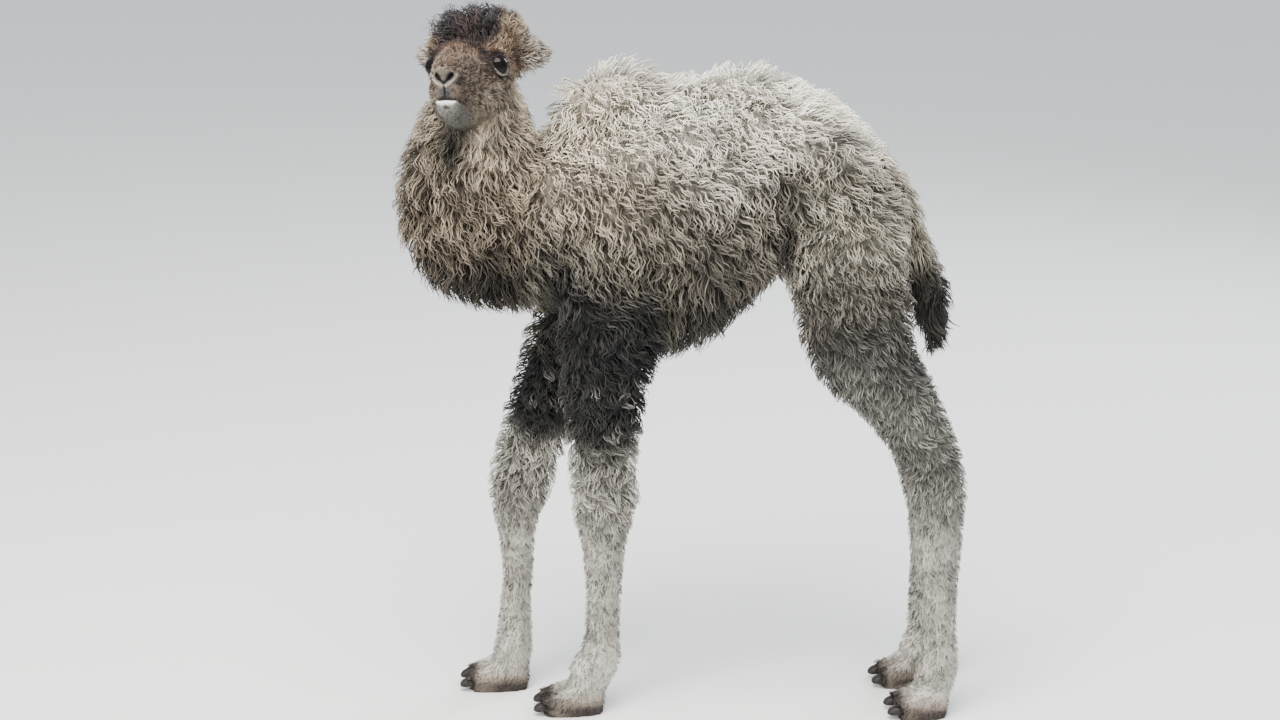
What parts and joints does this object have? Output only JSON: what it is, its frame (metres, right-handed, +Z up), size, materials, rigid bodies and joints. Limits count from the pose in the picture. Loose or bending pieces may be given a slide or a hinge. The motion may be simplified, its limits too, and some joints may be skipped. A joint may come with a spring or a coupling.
{
  "type": "young bactrian camel",
  "caption": "Woolly young two-humped camel standing on long straight legs, its head turned to its left towards the viewer; a still life-size model.",
  "frame": {"origin": "middle of the box around the animal, on the ground under the feet", "axes": "+Z up, the camel faces -X, its left side is at -Y"},
  "size_m": [0.9654, 0.4386, 1.209],
  "materials": {
    "grey_wool": "wavy grey-beige wool",
    "brown_wool": "wavy warm brown wool",
    "dark_wool": "curly near-black wool",
    "pale_fur": "short pale grey fur",
    "face_fur": "short speckled fur",
    "eye": "wet gloss",
    "nail": "dull horn"
  },
  "bodies": {
    "root": {"head": "face_fur", "lower_jaw": "face_fur", "ear_left": "face_fur", "ear_right": "face_fur", "eye_left": "eye", "eye_right": "eye", "neck_upper": "brown_wool", "neck_lower": "brown_wool", "trunk": "grey_wool", "hump_front": "grey_wool", "hump_rear": "grey_wool", "tail": "grey_wool", "tail_tuft": "dark_wool", "left_foreleg_upper": "dark_wool", "left_foreleg_lower": "pale_fur", "left_foreleg_foot": "pale_fur", "left_foreleg_nail_left": "nail", "left_foreleg_nail_right": "nail", "right_foreleg_upper": "dark_wool", "right_foreleg_lower": "pale_fur", "right_foreleg_foot": "pale_fur", "right_foreleg_nail_left": "nail", "right_foreleg_nail_right": "nail", "left_hindleg_upper": "grey_wool", "left_hindleg_lower": "pale_fur", "left_hindleg_foot": "pale_fur", "left_hindleg_nail_left": "nail", "left_hindleg_nail_right": "nail", "right_hindleg_upper": "grey_wool", "right_hindleg_lower": "pale_fur", "right_hindleg_foot": "pale_fur", "right_hindleg_nail_left": "nail", "right_hindleg_nail_right": "nail"}
  },
  "joints": []
}
